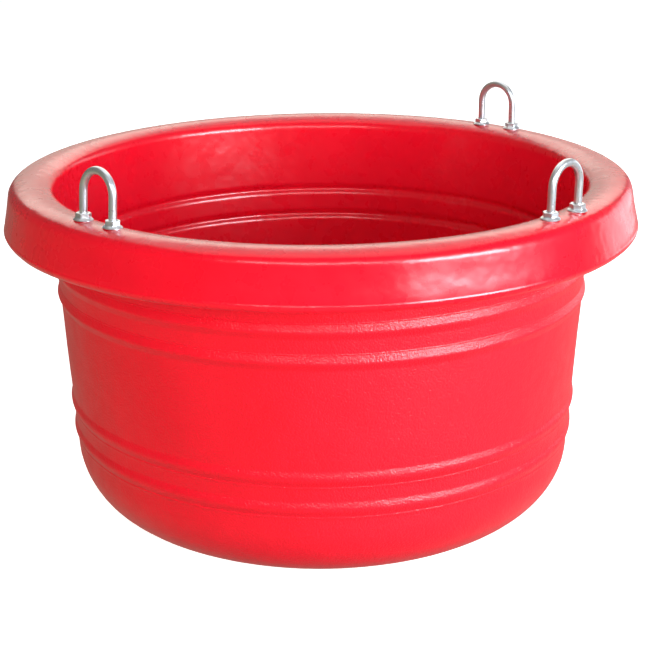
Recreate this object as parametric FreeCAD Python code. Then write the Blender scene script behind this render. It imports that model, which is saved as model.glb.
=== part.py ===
import FreeCAD, Part

import math
import os

V = FreeCAD.Vector
UP = V(0, 0, 1)

# Frame: the tub stands on z = 0 with its axis on Z. The front is -Y, and azimuths run from the
# front towards +X. Lengths are millimetres and angles are degrees.

# Tub: one moulded skin of even thickness, open at the top
SKIN = 5.5                      # thickness of the skin
WALL_FOOT_RADIUS = 214.3        # outer wall, run down to z = 0
WALL_DRAFT = 3.6                # how far the wall leans outward
BASE_CORNER_RADIUS = 59.0       # outer radius between the flat base and the wall
CREST_HEIGHT = 294.0            # highest line of the rim

# Beads: four raised bands round the wall, with matching grooves inside
BEAD_HEIGHTS = (75.0, 101.0, 197.2, 222.3)
BEAD_HALF_HEIGHT = 6.75
BEAD_RISE = 2.1
BEAD_CREASE_RADIUS = 2.4        # outer radius where a bead meets the wall

# Rim: the skin rolls outward over a low dome and hangs down as a skirt
ROLL_RADIUS = 10.0              # inner edge of the rim
CROWN_RADIUS = 34.5             # dome, on both sides of the crest
CROWN_HALF_ANGLE = 22.0
SHOULDER_RADIUS = 10.0          # outer edge of the dome
SHOULDER_TURN = 59.5
SKIRT_HOLLOW_RADIUS = 276.0     # the skirt is slightly hollow
SKIRT_HOLLOW_TURN = 5.6
LIP_RADIUS = 6.5                # the foot of the skirt turns in under itself
LIP_TURN = 64.0
LIP_EDGE_CROWN = 1.0            # trimmed edge of the skin

# Hangers: three U-bolts, each clamped through the rim by flange nuts. A hanger stands square to
# the dome where its holes are drilled, so one drilled inside the crest leans inward.
# Each has an azimuth, a distance of its holes outside the crest, and a twist off the tangent.
HANGERS = {"left": (-43.8, -2.4, 0.0), "right": (49.0, 0.9, -3.0), "rear": (136.0, 0.0, 3.0)}
ROD_DIAMETER = 6.35
LEG_SPACING = 34.9              # between the leg axes
LEG_POSITIONS = (-LEG_SPACING / 2, LEG_SPACING / 2)
HANGER_RISE = 43.7              # top of the arch above the dome
HANGER_LENGTH = 63.5            # top of the arch to the leg ends
LEG_END_CHAMFER = 0.9
HOLE_DIAMETER = 7.2             # drilled through the rim for each leg

# Hex flange nuts, made with the flange face on z = 0
NUT_ACROSS_FLATS = 11.1
NUT_HEIGHT = 5.9
NUT_CORNER_CHAMFER = 0.7
FLANGE_DIAMETER = 15.5
FLANGE_EDGE = 0.9               # height of the flange's rim
FLANGE_RISE = 2.6               # where the flange's cone meets the flats
THREAD_CLEARANCE = 0.05         # radial, between nut and leg
NUT_TURN_STEP = 22.0            # each nut stops at its own angle
SEAT_DIAMETER = 15.8            # flat patch that a flange beds into the skin
UPPER_SEAT = -0.3               # height of the upper flange faces, from the dome
LOWER_SEAT = -SKIN - 0.6        # height of the lower flange faces, from the dome


def side_point(point, heading, offset):
    """Point to the right of a path; heading 0 is up and 90 is outward."""
    side = math.radians(heading + 90)
    return V(point.x + offset * math.sin(side), 0, point.z + offset * math.cos(side))


def after_run(point, heading, length):
    """End of a straight run."""
    angle = math.radians(heading)
    return V(point.x + length * math.sin(angle), 0, point.z + length * math.cos(angle))


def after_bend(point, heading, radius, turn):
    """End of a bend; a positive turn is to the right."""
    side = math.copysign(radius, turn)
    start = math.radians(heading)
    end = math.radians(heading + turn)
    across = side * (math.cos(start) - math.cos(end))
    along = side * (math.sin(end) - math.sin(start))
    return V(point.x + across, 0, point.z + along)


def wall_length(low, high):
    """Length along the leaning wall between two heights."""
    return (high - low) / math.cos(math.radians(WALL_DRAFT))


def bead_bends():
    """Crease, crown and crease of one bead, as bends of the inner skin."""
    slope = 2 * math.degrees(math.atan(BEAD_RISE / BEAD_HALF_HEIGHT))
    both_radii = BEAD_HALF_HEIGHT / math.sin(math.radians(slope))
    crown = both_radii - BEAD_CREASE_RADIUS - SKIN
    crease = BEAD_CREASE_RADIUS + SKIN
    return [(crease, slope), (crown, -2 * slope), (crease, slope)]


def wall_pieces(top):
    """Runs and bends of the inner skin from the base corner up to a height."""
    low = BASE_CORNER_RADIUS * (1 - math.sin(math.radians(WALL_DRAFT)))
    pieces = []
    for height in BEAD_HEIGHTS:
        length = wall_length(low, height) - BEAD_HALF_HEIGHT
        pieces.append((length, 0))
        pieces.extend(bead_bends())
        low = height + BEAD_HALF_HEIGHT * math.cos(math.radians(WALL_DRAFT))
    pieces.append((wall_length(low, top), 0))
    return pieces


def rim_pieces():
    """Bends of the inner skin over the rim, from the wall to the trimmed edge."""
    roll_turn = 90 - CROWN_HALF_ANGLE - WALL_DRAFT
    return [
        (ROLL_RADIUS, roll_turn),
        (CROWN_RADIUS, CROWN_HALF_ANGLE),
        (CROWN_RADIUS, CROWN_HALF_ANGLE),
        (SHOULDER_RADIUS, SHOULDER_TURN),
        (SKIRT_HOLLOW_RADIUS, -SKIRT_HOLLOW_TURN),
        (LIP_RADIUS, LIP_TURN),
    ]


def rim_start_height():
    """Height on the outer wall where the inner skin starts to roll over."""
    draft = math.radians(WALL_DRAFT)
    half_angle = math.radians(CROWN_HALF_ANGLE)
    roll_rise = ROLL_RADIUS * (math.cos(half_angle) - math.sin(draft))
    crown_rise = CROWN_RADIUS * (1 - math.cos(half_angle))
    return CREST_HEIGHT - crown_rise - roll_rise - SKIN * math.sin(draft)


def skin_path():
    """Every run and bend of the inner skin, from the axis to the trimmed edge."""
    draft = math.radians(WALL_DRAFT)
    tangent_height = BASE_CORNER_RADIUS * (1 - math.sin(draft))
    tangent_radius = WALL_FOOT_RADIUS + tangent_height * math.tan(draft)
    floor_radius = tangent_radius - BASE_CORNER_RADIUS * math.cos(draft)
    pieces = [(floor_radius, 0), (BASE_CORNER_RADIUS - SKIN, WALL_DRAFT - 90)]
    pieces.extend(wall_pieces(rim_start_height()))
    pieces.extend(rim_pieces())
    return pieces


def walk(pieces):
    """Start, middle and end of every piece of the path, each as a point and a heading."""
    point = V(0, 0, SKIN)
    heading = 90.0
    stations = []
    for size, turn in pieces:
        if turn == 0:
            middle = after_run(point, heading, size / 2)
            end = after_run(point, heading, size)
        else:
            middle = after_bend(point, heading, size, turn / 2)
            end = after_bend(point, heading, size, turn)
        stations.append(((point, heading), (middle, heading + turn / 2), (end, heading + turn)))
        point = end
        heading = heading + turn
    return stations


def skin_edges(stations, pieces, offset):
    """Edges of the skin at an offset to the outer side of the path."""
    edges = []
    for station, piece in zip(stations, pieces):
        start, middle, end = [side_point(point, heading, offset) for point, heading in station]
        if piece[1] == 0:
            edges.append(Part.LineSegment(start, end).toShape())
        else:
            edges.append(Part.Arc(start, middle, end).toShape())
    return edges


def crest_radius():
    """Radius of the highest line of the rim."""
    for station in walk(skin_path()):
        point, heading = station[0]
        if abs(heading - 90) < 1e-6 and point.x > WALL_FOOT_RADIUS:
            return point.x
    raise ValueError("the rim has no crest")


def hanger_placement(azimuth, outside, twist):
    """Hanger frame: origin on the dome, Z square to the dome, X from leg a to leg b."""
    lean = math.asin(outside / CROWN_RADIUS)
    radius = crest_radius() + outside
    height = CREST_HEIGHT - CROWN_RADIUS * (1 - math.cos(lean))
    angle = math.radians(azimuth)
    origin = V(radius * math.sin(angle), -radius * math.cos(angle), height)
    around = FreeCAD.Rotation(UP, azimuth)
    tilt = FreeCAD.Rotation(V(1, 0, 0), math.degrees(lean))
    return FreeCAD.Placement(origin, around * tilt * FreeCAD.Rotation(UP, twist))


def placed(shape, placement):
    """The shape moved from a hanger's frame into the tub's frame."""
    moved = shape.copy()
    moved.Placement = placement * shape.Placement
    return moved


def drill_tool(x):
    """Leg hole and the two flange seats pressed into the skin round it, in the hanger's frame."""
    hole = Part.makeCylinder(HOLE_DIAMETER / 2, 4 * SKIN, V(x, 0, -3 * SKIN))
    seat_depth = SKIN / 2
    upper = Part.makeCylinder(SEAT_DIAMETER / 2, seat_depth, V(x, 0, UPPER_SEAT))
    lower = Part.makeCylinder(SEAT_DIAMETER / 2, seat_depth, V(x, 0, LOWER_SEAT - seat_depth))
    return hole.fuse([upper, lower])


def tub_shell():
    """The whole moulded tub, turned about Z and drilled for the legs."""
    pieces = skin_path()
    stations = walk(pieces)
    inner = skin_edges(stations, pieces, 0)
    outer = skin_edges(stations, pieces, SKIN)
    end, heading = stations[-1][2]
    edge_middle = side_point(after_run(end, heading, LIP_EDGE_CROWN), heading, SKIN / 2)
    trimmed = Part.Arc(end, edge_middle, side_point(end, heading, SKIN)).toShape()
    axis_edge = Part.LineSegment(V(0, 0, SKIN), V(0, 0, 0)).toShape()
    section = Part.Face(Part.Wire(Part.__sortEdges__(inner + outer + [trimmed, axis_edge])))
    shell = section.revolve(V(0, 0, 0), UP, 360)
    for hanger in HANGERS.values():
        for x in LEG_POSITIONS:
            shell = shell.cut(placed(drill_tool(x), hanger_placement(*hanger)))
    return shell


def u_bolt():
    """Bent rod in the hanger's frame: two legs and a half-round arch in the XZ plane."""
    radius = ROD_DIAMETER / 2
    arch_height = HANGER_RISE - radius - LEG_SPACING / 2
    foot_height = HANGER_RISE - HANGER_LENGTH
    circle = Part.Circle(V(LEG_POSITIONS[0], 0, arch_height), UP, radius)
    section = Part.Face(Part.Wire(circle.toShape()))
    rod = section.revolve(V(0, 0, arch_height), V(0, 1, 0), 180)
    for x in LEG_POSITIONS:
        tip = Part.makeCone(radius - LEG_END_CHAMFER, radius, LEG_END_CHAMFER, V(x, 0, foot_height))
        body_start = foot_height + LEG_END_CHAMFER
        body = Part.makeCylinder(radius, arch_height - body_start, V(x, 0, body_start))
        rod = rod.fuse([tip, body])
    return rod.removeSplitter()


def flange_nut():
    """Hex flange nut with its flange face on z = 0, bored to run on the rod."""
    corner_radius = NUT_ACROSS_FLATS / math.sqrt(3)
    corners = []
    for step in range(7):
        angle = math.radians(60 * step)
        corners.append(V(corner_radius * math.cos(angle), corner_radius * math.sin(angle), 0))
    hexagon = Part.Face(Part.makePolygon(corners)).extrude(UP * NUT_HEIGHT)
    chamfer_radius = corner_radius - NUT_CORNER_CHAMFER
    chamfer_base = chamfer_radius + NUT_HEIGHT
    hexagon = hexagon.common(Part.makeCone(chamfer_base, chamfer_radius, NUT_HEIGHT))
    flange_radius = FLANGE_DIAMETER / 2
    edge = Part.makeCylinder(flange_radius, FLANGE_EDGE)
    cone_height = FLANGE_RISE - FLANGE_EDGE
    cone = Part.makeCone(flange_radius, NUT_ACROSS_FLATS / 2, cone_height, V(0, 0, FLANGE_EDGE))
    bore = Part.makeCylinder(ROD_DIAMETER / 2 + THREAD_CLEARANCE, NUT_HEIGHT)
    return hexagon.fuse([edge, cone]).cut(bore).removeSplitter()


def seated_nut(x, seat, flip, turn):
    """A flange nut on the leg at x, turned over when it sits under the rim."""
    nut = flange_nut()
    if flip:
        nut.rotate(V(0, 0, 0), V(1, 0, 0), 180)
    nut.rotate(V(0, 0, 0), UP, turn)
    nut.translate(V(x, 0, seat))
    return nut


def hanger_solids(name, hanger, first_turn):
    """Named solids of one hanger: the U-bolt and its four flange nuts."""
    local = {name + "_u_bolt": u_bolt()}
    for place, (leg, x) in enumerate(zip(("a", "b"), LEG_POSITIONS)):
        turn = first_turn + place * NUT_TURN_STEP
        local[name + "_upper_nut_" + leg] = seated_nut(x, UPPER_SEAT, False, turn)
        local[name + "_lower_nut_" + leg] = seated_nut(x, LOWER_SEAT, True, 2 * turn)
    placement = hanger_placement(*hanger)
    return {node: placed(shape, placement) for node, shape in local.items()}


solids = {"tub_shell": tub_shell()}
for number, (hanger_name, hanger_values) in enumerate(HANGERS.items()):
    solids.update(hanger_solids(hanger_name, hanger_values, 2 * number * NUT_TURN_STEP))

os.makedirs("parts", exist_ok=True)
for node, shape in solids.items():
    solid = shape.Solids[0]
    solid.exportStep("parts/" + node + ".step")
    print(node, "solids", len(shape.Solids), "valid", solid.isValid(), "mm3", round(solid.Volume))
print("crest radius", round(crest_radius(), 2))
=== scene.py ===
import math

import bpy
import numpy as np
from mathutils import Matrix, Vector, noise


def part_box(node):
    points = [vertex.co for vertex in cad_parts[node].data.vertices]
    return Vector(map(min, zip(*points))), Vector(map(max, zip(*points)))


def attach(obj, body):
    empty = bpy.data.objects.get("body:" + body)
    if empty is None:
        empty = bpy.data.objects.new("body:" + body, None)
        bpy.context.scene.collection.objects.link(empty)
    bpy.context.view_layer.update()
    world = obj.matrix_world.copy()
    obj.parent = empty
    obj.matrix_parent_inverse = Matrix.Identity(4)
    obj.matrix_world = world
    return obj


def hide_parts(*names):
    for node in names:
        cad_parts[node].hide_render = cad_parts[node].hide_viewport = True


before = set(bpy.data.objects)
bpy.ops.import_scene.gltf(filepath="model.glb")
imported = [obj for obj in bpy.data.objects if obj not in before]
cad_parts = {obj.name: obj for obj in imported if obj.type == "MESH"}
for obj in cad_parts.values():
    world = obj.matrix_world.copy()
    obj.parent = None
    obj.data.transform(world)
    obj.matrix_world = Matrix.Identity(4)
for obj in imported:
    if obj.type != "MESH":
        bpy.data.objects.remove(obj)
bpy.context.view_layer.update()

MM = 0.001
BODY = "root"

# Tub skin, in metres and degrees, with the rim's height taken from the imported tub
CREST_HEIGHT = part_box("tub_shell")[1][2]
SKIN = 5.5 * MM
WALL_FOOT_RADIUS = 214.3 * MM
WALL_DRAFT = 3.6
BASE_CORNER_RADIUS = 59.0 * MM
BEAD_HEIGHTS = (75.0 * MM, 101.0 * MM, 197.2 * MM, 222.3 * MM)
BEAD_HALF_HEIGHT = 6.75 * MM
BEAD_RISE = 2.1 * MM
BEAD_CREASE_RADIUS = 2.4 * MM
ROLL_RADIUS = 10.0 * MM
CROWN_RADIUS = 34.5 * MM
CROWN_HALF_ANGLE = 22.0
SHOULDER_RADIUS = 10.0 * MM
SHOULDER_TURN = 59.5
SKIRT_HOLLOW_RADIUS = 276.0 * MM
SKIRT_HOLLOW_TURN = 5.6
LIP_RADIUS = 6.5 * MM
LIP_TURN = 64.0
LIP_HEADING = 150.0             # the path heads further down than this only on the lip
LIP_EDGE_CROWN = 1.0 * MM
LIP_EDGE_SHARES = (0.12, 0.3, 0.5, 0.7, 0.88)
TUB_SEGMENTS = 480
TUB_SHARP_ANGLE = 50

# Outside face of the beads: flank slope, crown, upper crease and lower crease. The low
# pair has its crisp crease below and the high pair has it above.
LOW_BEAD = (22.5, 8.0 * MM, 5.0 * MM, 0.8 * MM)
HIGH_BEAD = (22.5, 4.0 * MM, 0.8 * MM, 5.0 * MM)
OUTSIDE_BEADS = (LOW_BEAD, LOW_BEAD, HIGH_BEAD, HIGH_BEAD)

# Samples along the skin: longest step in a run and in a bend, and the closer steps near
# both ends of a long run
RUN_STEP = 5.0 * MM
BEND_STEP = 6.0
FINE_STEP = 0.25 * MM
FINE_SPAN = 2.0 * MM
LONG_RUN = 4 * FINE_SPAN

# Fine relief of the moulding
WARP_HEIGHT = 0.5 * MM
WARP_SPAN = 55.0 * MM
WARP_DETAIL = 0.35              # height of the finer warp, as a share of the slow one
WARP_DETAIL_SCALE = 2.3
WARP_DETAIL_SHIFT = Vector((7.1, 3.3, 1.7))
OVAL_HEIGHT = 0.9 * MM
OVAL_AZIMUTH = 65
CREST_FADE = 12 * MM            # height over which warp and ovality fade to none
BASE_FADE = 20 * MM
HIGH_RIDGE_RISE = 0.4 * MM      # fine ridge above each high bead
LOW_RIDGE_RISE = 0.22 * MM      # and below each low bead
RIDGE_OFFSET = 0.9 * MM
RIDGE_HALF_WIDTH = 0.7 * MM
GROOVE_HEIGHT = 256.9 * MM      # fine groove round the lip
GROOVE_DEPTH = 0.5 * MM
GROOVE_HALF_WIDTH = 0.9 * MM

# Hangers: azimuth, distance of the holes outside the crest, twist off the tangent
HANGERS = {
    "left": (-43.8, -2.4 * MM, 0.0),
    "right": (49.0, 0.9 * MM, -3.0),
    "rear": (136.0, 0.0, 3.0),
}

# U-bolts, with heights from the dome's top face
ROD_RADIUS = 3.175 * MM
ROD_SEGMENTS = 40
ROD_SHARP_ANGLE = 40
ARCH_POINTS = 49
LEG_POINTS = 9                  # above the thread
LEG_SPACING = 34.9 * MM
HANGER_RISE = 43.7 * MM
HANGER_LENGTH = 63.5 * MM
THREAD_PITCH = 1.27 * MM
THREAD_DEPTH = 0.7 * MM
THREAD_TOP = 6.4 * MM           # just past the upper nut
THREAD_CREST = 0.125            # half the crest and one flank, as shares of half a pitch
THREAD_FLANK = 0.625
THREAD_RUN_OUT = 1.5 * THREAD_PITCH
THREAD_STEPS = 9                # samples to a pitch
ROD_END_CHAMFER = 1.1 * MM

# Flange nuts
HEX_TURN = 60
NUT_ACROSS_FLATS = 11.1 * MM
NUT_HEIGHT = 5.9 * MM
NUT_BORE_RADIUS = 3.225 * MM
NUT_SEGMENTS = 96
NUT_SHARP_ANGLE = 25
NUT_CORNER_ROUND = 0.18 * MM
NUT_CHAMFER_SHARE = 0.96        # radius where the top chamfer starts, to the flats' radius
NUT_CHAMFER_ANGLE = 30
FLANGE_RADIUS = 7.75 * MM
FLANGE_EDGE = 0.9 * MM
FLANGE_RISE = 2.6 * MM
NUT_TURN_STEP = 22.0            # how far each nut is turned from the one before
# Small edges of the nut, as steps in mm across and up from where each one stands
BORE_TOP_EDGE = ((0, -0.8), (0.55, -0.06), (0.65, 0))
CHAMFER_TOP_EDGE = ((-0.15, 0), (0.05, -0.05))
CHAMFER_FOOT_EDGE = ((-0.12, 0.05), (0, -0.1))
HEX_FOOT_FILLET = ((0, 0.35), (0.08, 0.12), (0.35, 0))
FLANGE_TOP_INSET = 0.35
FLANGE_TOP_EDGE = ((-0.1, -0.02), (0, -0.2))
FLANGE_FOOT_EDGE = ((0, 0.2), (-0.15, 0))
BORE_FOOT_EDGE = ((0.5, 0), (0, 0.5))

# Bolt holes, with heights from the dome's top face
HOLE_RADIUS = 3.6 * MM
SEAT_RADIUS = 7.9 * MM
UPPER_SEAT = -0.3 * MM
LOWER_SEAT = -SKIN - 0.6 * MM
CUT_FOOT = -2.2 * SKIN
HOLE_SEGMENTS = 48

# Camera, in metres and degrees, with its lens in mm
CAMERA_DISTANCE = 1.3408
CAMERA_HEIGHT = 0.6040
CAMERA_PITCH = 18.628
CAMERA_YAW = 0.129
CAMERA_ROLL = -0.50
CAMERA_LENS = 88.1

# Studio light: azimuth, elevation, distance, width and height, radiance, colour, and
# what it serves: "both", "fill" for soft light without shine, or "shine" alone
PANEL_TARGET = Vector((0, 0, 0.2))
PANELS = {
    "key_shine": (47, 17, 2.0, (1.2, 0.60), 24.0, (0.88, 0.93, 1.0), "shine"),
    "key_fill": (50, 5, 2.2, (2.2, 1.0), 8.0, (0.96, 0.93, 1.0), "fill"),
    "key_spread": (54, 16, 2.2, (1.8, 1.2), 1.9, (0.80, 0.88, 1.0), "both"),
    "front": (-2, 28, 2.2, (1.8, 0.28), 9.0, (0.97, 0.96, 1.0), "shine"),
    "front_fill": (0, 18, 2.2, (2.2, 1.1), 3.2, (1.0, 0.96, 0.88), "fill"),
    "front_low": (-18, 5, 2.2, (2.4, 0.6), 2.2, (1.0, 0.96, 0.88), "fill"),
    "fill_left": (-62, 12, 2.4, (2.2, 1.2), 1.5, (1.0, 0.95, 0.65), "fill"),
    "fill_right": (60, 28, 2.4, (1.2, 0.8), 2.6, (1.0, 0.96, 0.90), "fill"),
    "back_fill": (180, 14, 2.4, (2.2, 1.2), 1.3, (1.0, 0.95, 0.90), "fill"),
    "back_low": (180, 9, 2.5, (2.4, 0.8), 0.65, (1.0, 0.94, 0.80), "shine"),
    "back_middle": (180, 29, 2.5, (2.6, 0.9), 2.3, (1.0, 0.95, 0.84), "shine"),
    "back_high": (180, 50, 2.5, (3.0, 0.9), 1.0, (1.0, 0.96, 0.95), "shine"),
    "overhead": (180, 82, 2.4, (2.4, 1.8), 1.2, (1.0, 0.97, 0.96), "shine"),
    "right_back": (128, 4, 2.2, (1.4, 1.0), 1.8, (0.94, 0.95, 1.0), "both"),
}

# Surround: height of the direction (-1 straight down, 1 straight up) and colour
WORLD_STOPS = (
    (-1.0, (0.16, 0.16, 0.14, 1)),
    (-0.85, (0.28, 0.27, 0.23, 1)),
    (-0.60, (0.46, 0.44, 0.37, 1)),
    (-0.40, (0.34, 0.32, 0.27, 1)),
    (-0.12, (0.18, 0.17, 0.15, 1)),
    (0.03, (0.14, 0.14, 0.14, 1)),
    (0.80, (0.14, 0.14, 0.15, 1)),
)
WORLD_LEFT = (0.82, 0.80, 0.62, 1)      # tints of the surround at its two sides
WORLD_RIGHT = (1.25, 1.28, 1.50, 1)

# Floor
FLOOR_HALF = 40.0
FLOOR_TONES = ((0.90, 0.90, 0.90), (0.92, 0.92, 0.92))
FLOOR_ROUGHNESS = 0.9
FLOOR_SPECULAR = 0.1
FLOOR_GLOW = 0.88

# Plastic: smooth above the first height and pebbled below the second
RED_TONES = ((0.80, 0.0026, 0.0185), (0.86, 0.0040, 0.0215))
PEBBLE_HEIGHTS = (0.252, 0.238)
OUTWARD_EDGE = 0.01             # width of the change from inside to outside face
RIM_ROUGHNESS = 0.28
WALL_ROUGHNESS = 0.50
SCUFF_ROUGHNESS = (-0.04, 0.05)
RIM_PEBBLES = 0.06              # depth of the pebbles on the rim, as a share of the wall's
PEBBLE_STRENGTH = 1.0
PEBBLE_DEPTH = 0.00060
WAVE_STRENGTH = 0.4
WAVE_DEPTH = 0.0009
PLASTIC_VALUES = {
    "IOR": 1.5,
    "Specular IOR Level": 0.30,
    "Coat Weight": 0.55,
    "Coat Roughness": 0.19,
    "Subsurface Weight": 0.06,
    "Subsurface Radius": (0.004, 0.0006, 0.0006),
    "Subsurface Scale": 1.0,
}

# Zinc plate: tints of its cloudy tone, and tone and roughness of rods and nuts
WARM_ZINC = (0.95, 0.97, 0.94)
COOL_ZINC = (0.86, 0.93, 1.0)
ZINC_METALLIC = 0.88
ZINC_SHINIER = 0.06             # how far the roughness strays below and above its value
ZINC_DULLER = 0.1
DRAWING_STRETCH = (1, 1, 0.12)
MARK_STRENGTH = 0.25
MARK_DEPTH = 0.00008
DENT_STRENGTH = 0.3
DENT_DEPTH = 0.0002
ROD_FINISH = (0.83, 0.33)
NUT_FINISH = (0.78, 0.34)


# ---------------------------------------------------------------- skin outline

def side_point(point, heading, offset):
    """Point to the right of a path in (radius, height); heading 0 is up and 90 is outward."""
    side = math.radians(heading + 90)
    return (point[0] + offset * math.sin(side), point[1] + offset * math.cos(side))


def after_run(point, heading, length):
    angle = math.radians(heading)
    return (point[0] + length * math.sin(angle), point[1] + length * math.cos(angle))


def after_bend(point, heading, radius, turn):
    side = radius if turn > 0 else -radius
    start = math.radians(heading)
    end = math.radians(heading + turn)
    across = side * (math.cos(start) - math.cos(end))
    along = side * (math.sin(end) - math.sin(start))
    return (point[0] + across, point[1] + along)


def wall_length(low, high):
    return (high - low) / math.cos(math.radians(WALL_DRAFT))


def soft_bead():
    """Bead of the inside face: crease, crown and crease as three bends."""
    slope = 2 * math.degrees(math.atan(BEAD_RISE / BEAD_HALF_HEIGHT))
    crown = BEAD_HALF_HEIGHT / math.sin(math.radians(slope)) - BEAD_CREASE_RADIUS
    crease = (BEAD_CREASE_RADIUS + SKIN, slope)
    return [crease, (crown - SKIN, -2 * slope), crease]


def crisp_bead(slope_angle, crown, top_crease, foot_crease):
    """Bead of the outside face, as moves of the inner skin that lie one skin inside it."""
    slope = math.radians(slope_angle)
    bends = (top_crease + foot_crease + 2 * crown) * math.sin(slope)
    flanks = (2 * BEAD_HALF_HEIGHT - bends) / math.cos(slope)
    skew = (foot_crease - top_crease) * (1 - math.cos(slope)) / math.sin(slope)
    return [
        (foot_crease + SKIN, slope_angle),
        ((flanks - skew) / 2, 0),
        (crown - SKIN, -2 * slope_angle),
        ((flanks + skew) / 2, 0),
        (top_crease + SKIN, slope_angle),
    ]


def skin_path(beads):
    """Every run and bend of the inner skin, from the axis to the trimmed edge."""
    draft = math.radians(WALL_DRAFT)
    low = BASE_CORNER_RADIUS * (1 - math.sin(draft))
    wall_radius = WALL_FOOT_RADIUS + low * math.tan(draft)
    floor_radius = wall_radius - BASE_CORNER_RADIUS * math.cos(draft)
    pieces = [(floor_radius, 0), (BASE_CORNER_RADIUS - SKIN, WALL_DRAFT - 90)]
    for height, bead in zip(BEAD_HEIGHTS, beads):
        pieces.append((wall_length(low, height) - BEAD_HALF_HEIGHT, 0))
        pieces.extend(bead)
        low = height + BEAD_HALF_HEIGHT * math.cos(draft)
    half_angle = math.radians(CROWN_HALF_ANGLE)
    roll_rise = ROLL_RADIUS * (math.cos(half_angle) - math.sin(draft))
    crown_rise = CROWN_RADIUS * (1 - math.cos(half_angle))
    top = CREST_HEIGHT - crown_rise - roll_rise - SKIN * math.sin(draft)
    pieces.append((wall_length(low, top), 0))
    pieces.extend([
        (ROLL_RADIUS, 90 - CROWN_HALF_ANGLE - WALL_DRAFT),
        (CROWN_RADIUS, CROWN_HALF_ANGLE),
        (CROWN_RADIUS, CROWN_HALF_ANGLE),
        (SHOULDER_RADIUS, SHOULDER_TURN),
        (SKIRT_HOLLOW_RADIUS, -SKIRT_HOLLOW_TURN),
        (LIP_RADIUS, LIP_TURN),
    ])
    return pieces


def sample_path(pieces):
    """Close samples of the inner skin, each as a point and a heading."""
    point = (0.0, SKIN)
    heading = 90.0
    samples = [(point, heading)]
    for size, turn in pieces:
        span = abs(size * math.radians(turn)) if turn else size
        steps = max(math.ceil(span / RUN_STEP), math.ceil(abs(turn) / BEND_STEP))
        shares = [step / steps for step in range(1, steps + 1)]
        if turn == 0 and span > LONG_RUN:
            fine = np.arange(FINE_STEP, FINE_SPAN, FINE_STEP) / span
            middle = [share for share in shares if fine[-1] < share < 1 - fine[-1]]
            shares = list(fine) + middle + list(1 - fine[::-1]) + [1.0]
        for share in shares:
            if turn:
                place = after_bend(point, heading, size, turn * share)
            else:
                place = after_run(point, heading, size * share)
            samples.append((place, heading + turn * share))
        point = samples[-1][0]
        heading = samples[-1][1]
    return samples


def skin_outline():
    """Closed outline of the skin, and how many of its points lie on the inside face.

    The inside face of the wall becomes the face of the rim that shows, down to the trimmed
    edge. The outside face carries the ridges.
    """
    soft = sample_path(skin_path([soft_bead()] * len(BEAD_HEIGHTS)))
    crisp = sample_path(skin_path([crisp_bead(*bead) for bead in OUTSIDE_BEADS]))
    inside = [grooved(point, heading) for point, heading in soft]
    outside = [side_point(point, heading, SKIN + ridge(point[1])) for point, heading in crisp]
    end, heading = soft[-1]
    edge = []
    for share in LIP_EDGE_SHARES:
        crown = LIP_EDGE_CROWN * (1 - (2 * share - 1) ** 2)
        edge.append(side_point(after_run(end, heading, crown), heading, SKIN * share))
    return inside + edge + outside[::-1], len(inside)


def ridge(height):
    """How far the fine ridges beside the beads stand out of the wall at a height."""
    rise = 0.0
    for bead, shape in zip(BEAD_HEIGHTS, OUTSIDE_BEADS):
        side, top = (-1, LOW_RIDGE_RISE) if shape is LOW_BEAD else (1, HIGH_RIDGE_RISE)
        middle = bead + side * (BEAD_HALF_HEIGHT + RIDGE_OFFSET)
        rise += top * bump_profile(height - middle, RIDGE_HALF_WIDTH)
    return rise


def grooved(point, heading):
    """The inside face at a sample, pressed in where the fine groove runs round the lip."""
    depth = 0.0
    if heading > LIP_HEADING:
        depth = GROOVE_DEPTH * bump_profile(point[1] - GROOVE_HEIGHT, GROOVE_HALF_WIDTH)
    return side_point(point, heading, depth)


def crest_radius():
    outline, inside_count = skin_outline()
    return max(outline[:inside_count], key=lambda point: point[1])[0]


# ---------------------------------------------------------------- mesh helpers

def make_mesh(name, points, faces):
    mesh = bpy.data.meshes.new(name)
    mesh.from_pydata([tuple(point) for point in points], [], faces)
    mesh.validate()
    mesh.update()
    return mesh


def make_object(name, mesh, material, sharp_angle):
    piece = bpy.data.objects.new(name, mesh)
    bpy.context.scene.collection.objects.link(piece)
    mesh.materials.append(material)
    mesh.polygons.foreach_set("use_smooth", [True] * len(mesh.polygons))
    mesh.set_sharp_from_angle(angle=math.radians(sharp_angle))
    mesh.update()
    return piece


def ring_faces(rings, segments, first=0, closed=False):
    """Quads between rings of vertices, and back to the first ring if closed."""
    faces = []
    last = rings if closed else rings - 1
    for ring in range(last):
        low = first + ring * segments
        high = first + ((ring + 1) % rings) * segments
        for step in range(segments):
            after = (step + 1) % segments
            faces.append((low + step, low + after, high + after, high + step))
    return faces


# ---------------------------------------------------------------- tub

def bump_profile(distance, half_width):
    """A smooth bump of height 1 that ends at half_width."""
    return max(0.0, 1 - (distance / half_width) ** 2) ** 2


def relief(radius, height, angle):
    """Radial move of a skin point: ovality and slow warps, none at the crest or base."""
    place = Vector((radius * math.sin(angle), -radius * math.cos(angle), height)) / WARP_SPAN
    detail = noise.noise(place * WARP_DETAIL_SCALE + WARP_DETAIL_SHIFT)
    warp = noise.noise(place) + WARP_DETAIL * detail
    oval = OVAL_HEIGHT * math.cos(2 * (angle - math.radians(OVAL_AZIMUTH)))
    below_crest = min(1.0, max(0.0, (CREST_HEIGHT - height) / CREST_FADE))
    above_base = min(1.0, height / BASE_FADE)
    return (WARP_HEIGHT * warp + oval) * below_crest * above_base


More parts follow.
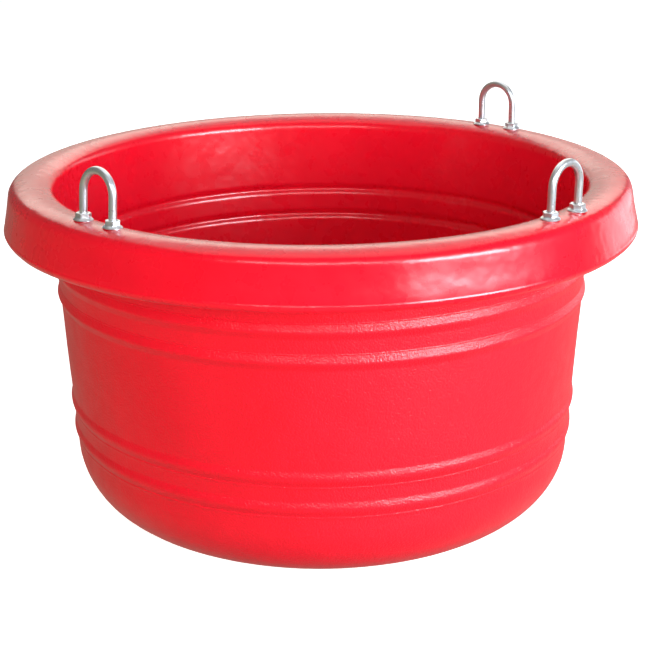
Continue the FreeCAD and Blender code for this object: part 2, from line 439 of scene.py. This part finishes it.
def tub_mesh():
    outline = skin_outline()[0]
    angles = np.linspace(0, 2 * math.pi, TUB_SEGMENTS, endpoint=False)
    points = [(0.0, 0.0, outline[0][1])]
    for radius, height in outline[1:-1]:
        for angle in angles:
            out = radius + relief(radius, height, angle)
            points.append((out * math.sin(angle), -out * math.cos(angle), height))
    points.append((0.0, 0.0, outline[-1][1]))
    rings = len(outline) - 2
    faces = ring_faces(rings, TUB_SEGMENTS, first=1)
    top = len(points) - 1
    last = 1 + (rings - 1) * TUB_SEGMENTS
    for step in range(TUB_SEGMENTS):
        after = (step + 1) % TUB_SEGMENTS
        faces.append((0, 1 + after, 1 + step))
        faces.append((top, last + step, last + after))
    return make_mesh("tub", points, faces)


# ---------------------------------------------------------------- hangers

def hanger_matrix(azimuth, outside, twist):
    """Hanger frame: origin on the dome, Z square to the dome, X from leg a to leg b."""
    lean = math.asin(outside / CROWN_RADIUS)
    radius = crest_radius() + outside
    height = CREST_HEIGHT - CROWN_RADIUS * (1 - math.cos(lean))
    angle = math.radians(azimuth)
    origin = Vector((radius * math.sin(angle), -radius * math.cos(angle), height))
    turn = Matrix.Rotation(angle, 4, "Z") @ Matrix.Rotation(lean, 4, "X")
    return Matrix.Translation(origin) @ turn @ Matrix.Rotation(math.radians(twist), 4, "Z")


def thread_cut(height, azimuth, foot):
    """How far the thread cuts into the rod at a height and angle round the leg."""
    phase = (height / THREAD_PITCH - azimuth / (2 * math.pi)) % 1.0
    from_crest = abs(phase - 0.5) * 2
    groove = min(1.0, max(0.0, (from_crest - THREAD_CREST) / THREAD_FLANK))
    run_out = min(1.0, max(0.0, (THREAD_TOP - height) / THREAD_RUN_OUT))
    chamfer = max(0.0, ROD_END_CHAMFER - (height - foot))
    return max(THREAD_DEPTH * groove * run_out, chamfer)


def rod_stations():
    """Centre line of the U-bolt in its XZ plane, and the height of its foot.

    Each station is a point, an outward normal and a side: -1 and 1 on the legs, 0 between.
    """
    half = LEG_SPACING / 2
    arch = HANGER_RISE - ROD_RADIUS - half
    foot = HANGER_RISE - HANGER_LENGTH
    threaded = int((THREAD_TOP - foot) / (THREAD_PITCH / THREAD_STEPS))
    heights = list(np.linspace(foot, THREAD_TOP, threaded))
    heights.extend(np.linspace(THREAD_TOP, arch, LEG_POINTS)[1:])
    stations = [((-half, height), (-1.0, 0.0), -1) for height in heights]
    for angle in np.linspace(0, math.pi, ARCH_POINTS)[1:-1]:
        normal = (-math.cos(angle), math.sin(angle))
        stations.append(((half * normal[0], arch + half * normal[1]), normal, 0))
    stations.extend([((half, height), (1.0, 0.0), 1) for height in heights[::-1]])
    return stations, foot


def u_bolt_mesh(name, matrix):
    stations, foot = rod_stations()
    points = []
    for (x, z), (normal_x, normal_z), side in stations:
        for step in range(ROD_SEGMENTS):
            angle = 2 * math.pi * step / ROD_SEGMENTS
            round_leg = math.pi - angle if side < 0 else angle
            cut = thread_cut(z, round_leg, foot) if side else 0.0
            reach = (ROD_RADIUS - cut) * math.cos(angle)
            y = (ROD_RADIUS - cut) * math.sin(angle)
            points.append((x + reach * normal_x, y, z + reach * normal_z))
    faces = ring_faces(len(stations), ROD_SEGMENTS)
    first = len(points)
    points.append((stations[0][0][0], 0.0, foot))
    points.append((stations[-1][0][0], 0.0, foot))
    last = (len(stations) - 1) * ROD_SEGMENTS
    for step in range(ROD_SEGMENTS):
        after = (step + 1) % ROD_SEGMENTS
        faces.append((first, after, step))
        faces.append((first + 1, last + step, last + after))
    placed = [matrix @ Vector(point) for point in points]
    return make_mesh(name, placed, faces)


def edge_points(radius, height, steps):
    """Points of one small edge of the nut, from where it stands and its steps in mm."""
    return [(radius + across * MM, height + up * MM) for across, up in steps]


def nut_outline(hex_radius):
    """Rings of a flange nut at one angle, from the bore's top round to the bore's foot."""
    flat = NUT_ACROSS_FLATS / 2
    chamfer_radius = NUT_CHAMFER_SHARE * flat
    chamfer_drop = (hex_radius - chamfer_radius) * math.tan(math.radians(NUT_CHAMFER_ANGLE))
    slope = (FLANGE_RISE - FLANGE_EDGE) / (FLANGE_RADIUS - flat)

    def cone(radius):
        return FLANGE_EDGE + (FLANGE_RADIUS - radius) * slope

    fillet = []
    for across, up in HEX_FOOT_FILLET:
        radius = hex_radius + across * MM
        fillet.append((radius, cone(radius) + up * MM))
    inset = FLANGE_RADIUS - FLANGE_TOP_INSET * MM
    return [
        *edge_points(NUT_BORE_RADIUS, NUT_HEIGHT, BORE_TOP_EDGE),
        *edge_points(chamfer_radius, NUT_HEIGHT, CHAMFER_TOP_EDGE),
        *edge_points(hex_radius, NUT_HEIGHT - chamfer_drop, CHAMFER_FOOT_EDGE),
        *fillet,
        (inset, cone(inset)),
        *edge_points(FLANGE_RADIUS, FLANGE_EDGE, FLANGE_TOP_EDGE),
        *edge_points(FLANGE_RADIUS, 0.0, FLANGE_FOOT_EDGE),
        *edge_points(NUT_BORE_RADIUS, 0.0, BORE_FOOT_EDGE),
    ]


def nut_mesh(name, matrix):
    flat = NUT_ACROSS_FLATS / 2
    corner = flat / math.cos(math.radians(HEX_TURN / 2))
    columns = []
    for step in range(NUT_SEGMENTS):
        angle = 2 * math.pi * step / NUT_SEGMENTS
        from_flat = (math.degrees(angle) % HEX_TURN) - HEX_TURN / 2
        to_hexagon = flat / math.cos(math.radians(from_flat))
        column = []
        for radius, height in nut_outline(min(to_hexagon, corner - NUT_CORNER_ROUND)):
            column.append((radius * math.cos(angle), radius * math.sin(angle), height))
        columns.append(column)
    rings = len(columns[0])
    points = [matrix @ Vector(column[ring]) for ring in range(rings) for column in columns]
    faces = [face[::-1] for face in ring_faces(rings, NUT_SEGMENTS, closed=True)]
    return make_mesh(name, points, faces)


def drill_tub(tub):
    """Cut the leg holes and the flange seats out of the tub."""
    outline = [
        (0.0, SKIN),
        (SEAT_RADIUS, SKIN),
        (SEAT_RADIUS, UPPER_SEAT),
        (HOLE_RADIUS, UPPER_SEAT),
        (HOLE_RADIUS, LOWER_SEAT),
        (SEAT_RADIUS, LOWER_SEAT),
        (SEAT_RADIUS, CUT_FOOT),
        (0.0, CUT_FOOT),
    ]
    for values in HANGERS.values():
        matrix = hanger_matrix(*values)
        for x in (-LEG_SPACING / 2, LEG_SPACING / 2):
            tool = lathe_tool(outline, matrix @ Matrix.Translation((x, 0, 0)))
            cut = tub.modifiers.new("leg_hole", "BOOLEAN")
            cut.operation = "DIFFERENCE"
            cut.solver = "EXACT"
            cut.object = tool
            apply_modifiers(tub)
            bpy.data.objects.remove(tool)


def lathe_tool(outline, matrix):
    """Solid of revolution about the Z axis of a matrix, used as a cutter."""
    points = [matrix @ Vector((0.0, 0.0, outline[0][1]))]
    for radius, height in outline[1:-1]:
        for step in range(HOLE_SEGMENTS):
            angle = 2 * math.pi * step / HOLE_SEGMENTS
            place = Vector((radius * math.cos(angle), radius * math.sin(angle), height))
            points.append(matrix @ place)
    points.append(matrix @ Vector((0.0, 0.0, outline[-1][1])))
    rings = len(outline) - 2
    faces = [face[::-1] for face in ring_faces(rings, HOLE_SEGMENTS, first=1)]
    last = 1 + (rings - 1) * HOLE_SEGMENTS
    for step in range(HOLE_SEGMENTS):
        after = (step + 1) % HOLE_SEGMENTS
        faces.append((0, 1 + step, 1 + after))
        faces.append((len(points) - 1, last + after, last + step))
    mesh = make_mesh("tool", points, faces)
    tool = bpy.data.objects.new("tool", mesh)
    bpy.context.scene.collection.objects.link(tool)
    return tool


def apply_modifiers(piece):
    """Replace the piece's mesh by its evaluated one."""
    depsgraph = bpy.context.evaluated_depsgraph_get()
    mesh = bpy.data.meshes.new_from_object(piece.evaluated_get(depsgraph))
    piece.modifiers.clear()
    piece.data = mesh


# ---------------------------------------------------------------- materials

class Nodes:
    """Short ways to add the nodes of one material."""

    def __init__(self, name):
        self.material = bpy.data.materials.new(name)
        self.material.use_nodes = True
        self.tree = self.material.node_tree
        self.shader = self.tree.nodes["Principled BSDF"]
        self.coords = self.tree.nodes.new("ShaderNodeTexCoord").outputs["Object"]

    def link(self, source, target):
        self.tree.links.new(source, target)

    def feed(self, source, name):
        self.link(source, self.shader.inputs[name])

    def set(self, name, value):
        self.shader.inputs[name].default_value = value

    def noise(self, scale, detail, stretch=(1, 1, 1)):
        mapping = self.tree.nodes.new("ShaderNodeMapping")
        mapping.inputs["Scale"].default_value = stretch
        self.link(self.coords, mapping.inputs["Vector"])
        node = self.tree.nodes.new("ShaderNodeTexNoise")
        node.inputs["Scale"].default_value = scale
        node.inputs["Detail"].default_value = detail
        self.link(mapping.outputs["Vector"], node.inputs["Vector"])
        return node.outputs["Fac"]

    def spread(self, value, low, high, to_low=0, to_high=1):
        node = self.tree.nodes.new("ShaderNodeMapRange")
        node.inputs["From Min"].default_value = low
        node.inputs["From Max"].default_value = high
        node.inputs["To Min"].default_value = to_low
        node.inputs["To Max"].default_value = to_high
        self.link(value, node.inputs["Value"])
        return node.outputs["Result"]

    def height(self):
        split = self.tree.nodes.new("ShaderNodeSeparateXYZ")
        self.link(self.coords, split.inputs["Vector"])
        return split.outputs["Z"]

    def outward(self):
        """Above zero where the surface looks away from the middle of the tub."""
        normal = self.tree.nodes.new("ShaderNodeTexCoord").outputs["Normal"]
        dot = self.tree.nodes.new("ShaderNodeVectorMath")
        dot.operation = "DOT_PRODUCT"
        self.link(normal, dot.inputs[0])
        self.link(self.coords, dot.inputs[1])
        return dot.outputs["Value"]

    def combine(self, operation, first, second):
        node = self.tree.nodes.new("ShaderNodeMath")
        node.operation = operation
        self.link(first, node.inputs[0])
        self.link(second, node.inputs[1])
        return node.outputs["Value"]

    def blend(self, share, first, second):
        node = self.tree.nodes.new("ShaderNodeMix")
        node.data_type = "RGBA"
        self.link(share, node.inputs["Factor"])
        node.inputs["A"].default_value = (*first, 1)
        node.inputs["B"].default_value = (*second, 1)
        return node.outputs["Result"]

    def bump(self, height, strength, distance, under=None):
        node = self.tree.nodes.new("ShaderNodeBump")
        node.inputs["Strength"].default_value = strength
        node.inputs["Distance"].default_value = distance
        self.link(height, node.inputs["Height"])
        if under is not None:
            self.link(under, node.inputs["Normal"])
        return node.outputs["Normal"]


def red_polyethylene():
    """Rotationally moulded polyethylene: pebbled satin wall and a smoother, wavier rim."""
    nodes = Nodes("red_polyethylene")
    cloud = nodes.spread(nodes.noise(scale=14, detail=4), 0.35, 0.65)
    nodes.feed(nodes.blend(cloud, *RED_TONES), "Base Color")
    below_rim = nodes.spread(nodes.height(), *PEBBLE_HEIGHTS)
    outside = nodes.spread(nodes.outward(), -OUTWARD_EDGE, OUTWARD_EDGE)
    on_wall = nodes.combine("MULTIPLY", below_rim, outside)
    scuffs = nodes.spread(nodes.noise(scale=60, detail=5), 0.3, 0.7, *SCUFF_ROUGHNESS)
    gloss = nodes.spread(on_wall, 0, 1, RIM_ROUGHNESS, WALL_ROUGHNESS)
    nodes.feed(nodes.combine("ADD", gloss, scuffs), "Roughness")
    waves = nodes.bump(nodes.noise(scale=88, detail=1), WAVE_STRENGTH, WAVE_DEPTH)
    depth = nodes.spread(on_wall, 0, 1, RIM_PEBBLES, 1)
    grain = nodes.combine("MULTIPLY", nodes.noise(scale=640, detail=2), depth)
    pebbles = nodes.bump(grain, PEBBLE_STRENGTH, PEBBLE_DEPTH, waves)
    nodes.feed(pebbles, "Normal")
    nodes.feed(pebbles, "Coat Normal")
    for name, value in PLASTIC_VALUES.items():
        nodes.set(name, value)
    return nodes.material


def zinc_plate(name, tone, roughness):
    """Bright zinc plate: grey metal with cloudy tone and faint drawing marks."""
    nodes = Nodes(name)
    cloud = nodes.spread(nodes.noise(scale=220, detail=5), 0.3, 0.7)
    warm = tuple(tone * part for part in WARM_ZINC)
    cool = tuple(tone * part for part in COOL_ZINC)
    nodes.feed(nodes.blend(cloud, warm, cool), "Base Color")
    speckle = nodes.noise(scale=500, detail=4)
    gloss = nodes.spread(speckle, 0.3, 0.7, roughness - ZINC_SHINIER, roughness + ZINC_DULLER)
    nodes.feed(gloss, "Roughness")
    drawn = nodes.noise(scale=1400, detail=3, stretch=DRAWING_STRETCH)
    marks = nodes.bump(drawn, MARK_STRENGTH, MARK_DEPTH)
    dents = nodes.bump(nodes.noise(scale=260, detail=2), DENT_STRENGTH, DENT_DEPTH, marks)
    nodes.feed(dents, "Normal")
    nodes.set("Metallic", ZINC_METALLIC)
    return nodes.material


def pale_floor():
    nodes = Nodes("pale_floor")
    cloud = nodes.spread(nodes.noise(scale=1.5, detail=3), 0.3, 0.7)
    nodes.feed(nodes.blend(cloud, *FLOOR_TONES), "Base Color")
    nodes.set("Roughness", FLOOR_ROUGHNESS)
    nodes.set("Specular IOR Level", FLOOR_SPECULAR)
    nodes.set("Emission Color", (1, 1, 1, 1))
    nodes.set("Emission Strength", FLOOR_GLOW)
    return nodes.material


# ---------------------------------------------------------------- stage

def add_floor():
    mesh = bpy.data.meshes.new("floor")
    half = FLOOR_HALF
    corners = [(-half, -half, 0), (half, -half, 0), (half, half, 0), (-half, half, 0)]
    mesh.from_pydata(corners, [], [(0, 1, 2, 3)])
    floor = bpy.data.objects.new("floor", mesh)
    mesh.materials.append(pale_floor())
    bpy.context.scene.collection.objects.link(floor)
    floor.visible_diffuse = False
    floor.visible_glossy = False


def add_panel(name, azimuth, elevation, distance, size, radiance, colour, serves):
    """Soft panel that faces the tub; azimuth 0 is the front and 90 is the right."""
    data = bpy.data.lights.new(name, "AREA")
    data.shape = "RECTANGLE"
    data.size, data.size_y = size
    data.energy = radiance * math.pi * size[0] * size[1]
    data.color = colour
    panel = bpy.data.objects.new(name, data)
    turn = math.radians(azimuth)
    rise = math.radians(elevation)
    level = math.cos(rise)
    away = Vector((math.sin(turn) * level, -math.cos(turn) * level, math.sin(rise)))
    place = Matrix.Translation(PANEL_TARGET + distance * away)
    panel.matrix_world = place @ away.to_track_quat("Z", "Y").to_matrix().to_4x4()
    panel.visible_camera = False
    panel.visible_glossy = serves != "fill"
    panel.visible_diffuse = serves != "shine"
    data.cycles.use_multiple_importance_sampling = serves != "fill"
    bpy.context.scene.collection.objects.link(panel)


def add_lights():
    for name, values in PANELS.items():
        add_panel(name, *values)
    add_world()


def add_world():
    """Soft surround: pale ground below, dimmer from the horizon up, cooler to the right."""
    world = bpy.data.worlds.new("studio")
    bpy.context.scene.world = world
    world.use_nodes = True
    nodes = world.node_tree.nodes
    links = world.node_tree.links
    split = nodes.new("ShaderNodeSeparateXYZ")
    links.new(nodes.new("ShaderNodeTexCoord").outputs["Generated"], split.inputs["Vector"])
    ramp = nodes.new("ShaderNodeValToRGB")
    share = nodes.new("ShaderNodeMapRange")
    share.inputs["From Min"].default_value = -1.0
    links.new(split.outputs["Z"], share.inputs["Value"])
    links.new(share.outputs["Result"], ramp.inputs["Fac"])
    stops = ramp.color_ramp.elements
    stops[0].color = WORLD_STOPS[0][1]
    stops[1].position = (WORLD_STOPS[-1][0] + 1) / 2
    stops[1].color = WORLD_STOPS[-1][1]
    for height, colour in WORLD_STOPS[1:-1]:
        stops.new((height + 1) / 2).color = colour
    sides = nodes.new("ShaderNodeMix")
    sides.data_type = "RGBA"
    sides.inputs["A"].default_value = WORLD_LEFT
    sides.inputs["B"].default_value = WORLD_RIGHT
    across = nodes.new("ShaderNodeMapRange")
    across.inputs["From Min"].default_value = -1.0
    links.new(split.outputs["X"], across.inputs["Value"])
    links.new(across.outputs["Result"], sides.inputs["Factor"])
    tinted = nodes.new("ShaderNodeMix")
    tinted.data_type = "RGBA"
    tinted.blend_type = "MULTIPLY"
    tinted.inputs["Factor"].default_value = 1.0
    links.new(ramp.outputs["Color"], tinted.inputs["A"])
    links.new(sides.outputs["Result"], tinted.inputs["B"])
    links.new(tinted.outputs["Result"], nodes["Background"].inputs["Color"])


def add_camera():
    pitch = math.radians(CAMERA_PITCH)
    roll = math.radians(CAMERA_ROLL)
    back = Vector((0, -math.cos(pitch), math.sin(pitch)))
    up = Vector((0, math.sin(pitch), math.cos(pitch)))
    right = Vector((1, 0, 0))
    rolled_right = right * math.cos(roll) + up * math.sin(roll)
    rolled_up = up * math.cos(roll) - right * math.sin(roll)
    axes = Matrix((rolled_right, rolled_up, back)).transposed().to_4x4()
    data = bpy.data.cameras.new("camera")
    data.lens = CAMERA_LENS
    camera = bpy.data.objects.new("camera", data)
    place = Matrix.Translation((0, -CAMERA_DISTANCE, CAMERA_HEIGHT))
    camera.matrix_world = place @ Matrix.Rotation(math.radians(-CAMERA_YAW), 4, "Z") @ axes
    bpy.context.scene.collection.objects.link(camera)
    bpy.context.scene.camera = camera


# ---------------------------------------------------------------- build

def build_tub(material):
    tub = make_object("tub", tub_mesh(), material, TUB_SHARP_ANGLE)
    drill_tub(tub)
    tub.data.set_sharp_from_angle(angle=math.radians(TUB_SHARP_ANGLE))
    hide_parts("tub_shell")
    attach(tub, BODY)


def build_hanger(name, values, first_turn, rod, plate):
    matrix = hanger_matrix(*values)
    bolt_mesh = u_bolt_mesh(name + "_rod", matrix)
    bolt = make_object(name + "_rod", bolt_mesh, rod, ROD_SHARP_ANGLE)
    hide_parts(name + "_u_bolt")
    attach(bolt, BODY)
    for place, leg in enumerate(("a", "b")):
        x = (place - 0.5) * LEG_SPACING
        turn = first_turn + place * NUT_TURN_STEP
        add_nut(name + "_upper_nut_" + leg, matrix, x, UPPER_SEAT, 0, turn, plate)
        add_nut(name + "_lower_nut_" + leg, matrix, x, LOWER_SEAT, 180, 2 * turn, plate)


def add_nut(node, matrix, x, seat, flip, turn, material):
    local = Matrix.Translation((x, 0, seat)) @ Matrix.Rotation(math.radians(turn), 4, "Z")
    local = local @ Matrix.Rotation(math.radians(flip), 4, "X")
    mesh = nut_mesh(node, matrix @ local)
    piece = make_object("flange_" + node, mesh, material, NUT_SHARP_ANGLE)
    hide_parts(node)
    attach(piece, BODY)


def build():
    build_tub(red_polyethylene())
    rod = zinc_plate("zinc_rod", *ROD_FINISH)
    plate = zinc_plate("zinc_nut", *NUT_FINISH)
    for number, (name, values) in enumerate(HANGERS.items()):
        build_hanger(name, values, 2 * number * NUT_TURN_STEP, rod, plate)
    add_floor()
    add_lights()
    add_camera()
    bpy.context.scene.view_settings.view_transform = "Standard"


build()
